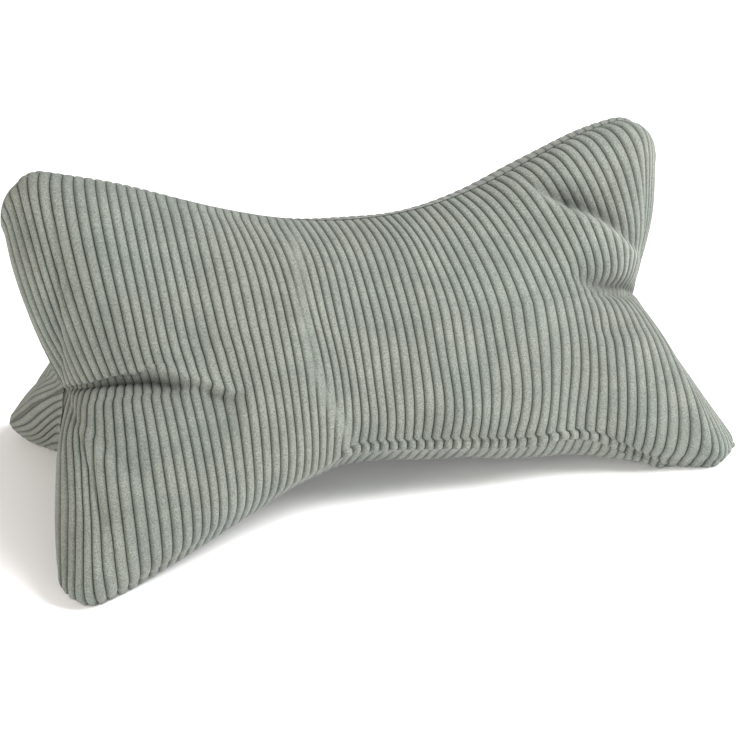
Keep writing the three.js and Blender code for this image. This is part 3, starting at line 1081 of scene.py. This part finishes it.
def mottled(tree, mottle):
    """(a Mottle's noise, the same as levels): the noise's middle range becomes low to high."""
    noise = add_node(tree, "ShaderNodeTexNoise", {
        "Vector": add_node(tree, "ShaderNodeTexCoord").outputs["Object"],
        "Scale": 1 / (mottle.size * MM),
        "Detail": mottle.detail,
        "Roughness": 0.6,
    }).outputs["Fac"]
    levels = add_node(tree, "ShaderNodeMapRange", {
        "Value": noise,
        "From Min": 0.3,
        "From Max": 0.7,
        "To Min": mottle.low,
        "To Max": mottle.high,
    })
    return noise, levels.outputs["Result"]


def plain(name, colour, roughness):
    """A plain matte material."""
    material = bpy.data.materials.new(name)
    material.use_nodes = True
    shader = material.node_tree.nodes["Principled BSDF"]
    shader.inputs["Base Color"].default_value = linear(colour)
    shader.inputs["Roughness"].default_value = roughness
    return material


def add_floor():
    """A pale matte studio floor."""
    half = 6000
    corners = [(-half, -half, 0), (half, -half, 0), (half, half, 0), (-half, half, 0)]
    mesh = mesh_of("floor", np.array(corners, float), np.array([[0, 1, 2, 3]]))
    floor = bpy.data.objects.new("floor", mesh)
    floor.data.materials.append(plain("pale studio floor", "#ffffff", roughness=0.9))
    bpy.context.scene.collection.objects.link(floor)


def add_light(name, azimuth, elevation, distance, size, power, colour):
    """A square soft light that looks at the pillow from a direction, distances in mm."""
    light = bpy.data.lights.new(name, "AREA")
    light.size = size * MM
    light.energy = power
    light.color = linear(colour)[:3]
    lamp = bpy.data.objects.new(name, light)
    aim = Vector(AXIS_MIDDLE * MM)
    back = Vector(direction(azimuth, elevation))
    lamp.location = aim + back * distance * MM
    lamp.rotation_mode = "QUATERNION"
    lamp.rotation_quaternion = back.to_track_quat("Z", "Y")
    bpy.context.scene.collection.objects.link(lamp)


def direction(azimuth, elevation):
    """The way from the pillow to someone who looks at it: azimuth 0 is the front, 90 the right."""
    a, e = np.radians([azimuth, elevation])
    return np.array([np.sin(a) * np.cos(e), -np.cos(a) * np.cos(e), np.sin(e)])


def add_world(strength):
    """Even white light from all round."""
    world = bpy.data.worlds.new("studio")
    world.use_nodes = True
    background = world.node_tree.nodes["Background"]
    background.inputs["Color"].default_value = linear("#ffffff")
    background.inputs["Strength"].default_value = strength
    bpy.context.scene.world = world


def add_camera():
    """The camera at the photograph's angle. Its frame is shifted only by the photograph's."""
    camera = bpy.data.cameras.new("camera")
    camera.sensor_width = SENSOR
    camera.lens = FOCAL_PIXELS / IMAGE_SIDE * SENSOR
    camera.shift_x = AIM_RIGHT_PIXELS / IMAGE_SIDE
    camera.shift_y = -AIM_DOWN_PIXELS / IMAGE_SIDE
    back = direction(CAMERA_AZIMUTH, CAMERA_ELEVATION)
    a, r = np.radians([CAMERA_AZIMUTH, CAMERA_ROLL])
    level = np.array([np.cos(a), np.sin(a), 0])
    upright = np.cross(back, level)
    right = level * np.cos(r) + upright * np.sin(r)
    up = upright * np.cos(r) - level * np.sin(r)
    turn = Matrix(np.stack([right, up, back], 1).tolist()).to_4x4()
    shot = bpy.data.objects.new("camera", camera)
    place = Vector((AXIS_MIDDLE + back * CAMERA_DISTANCE) * MM)
    shot.matrix_world = Matrix.Translation(place) @ turn
    bpy.context.scene.collection.objects.link(shot)
    bpy.context.scene.camera = shot


cloth = corduroy()
for name, (panel, halves) in zip(("front_panel", "back_panel", "underside_panel"), PANELS):
    piece = panel_mesh(name, panel, halves)
    piece.data.materials.append(cloth)
    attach(piece, "root")
    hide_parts("pillow")

add_floor()
add_world(strength=0.44)
add_light("key", azimuth=64, elevation=46, distance=1500, size=900, power=45, colour="#ffffff")
add_light("fill", azimuth=-85, elevation=12, distance=1700, size=1200, power=24, colour="#fff4e8")
add_light("front", azimuth=-5, elevation=5, distance=1900, size=1300, power=34, colour="#ffffff")
add_camera()
bpy.context.scene.view_settings.view_transform = "Standard"
